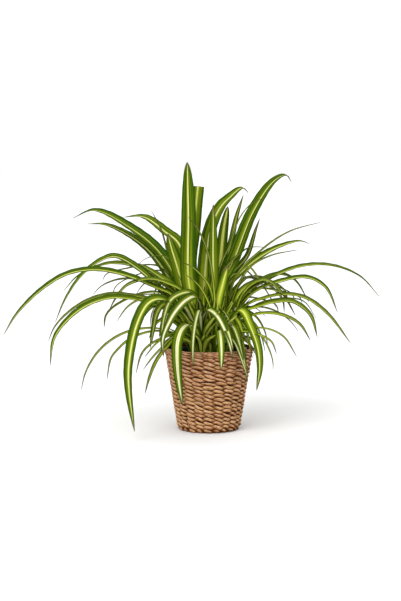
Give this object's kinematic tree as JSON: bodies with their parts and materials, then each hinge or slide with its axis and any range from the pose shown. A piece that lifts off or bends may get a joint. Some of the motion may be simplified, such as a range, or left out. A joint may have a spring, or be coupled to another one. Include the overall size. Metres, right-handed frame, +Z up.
{
  "type": "potted spider plant",
  "caption": "Bushy potted plant with long striped arching leaves, rooted in soil in a nursery pot inside a round tapered woven fibre basket.",
  "frame": {"origin": "centre of the basket's flat underside", "axes": "+Z up, +X along the plant's widest spread, -Y towards the viewer of the front"},
  "size_m": [0.7152, 0.4232, 0.508],
  "materials": {
    "woven_fibre": "matte twisted plant fibre, straw to reddish tan",
    "liner_plastic": "black moulded nursery pot",
    "soil": "dark crumbly potting mix",
    "leaf": "waxy green leaf with a cream stripe down the middle"
  },
  "bodies": {
    "root": {"basket": "woven_fibre", "liner": "liner_plastic", "soil": "soil", "rosette_right": "leaf", "rosette_back_right": "leaf", "rosette_back_left": "leaf", "rosette_left": "leaf", "rosette_front_left": "leaf", "rosette_front_right": "leaf"}
  },
  "joints": []
}
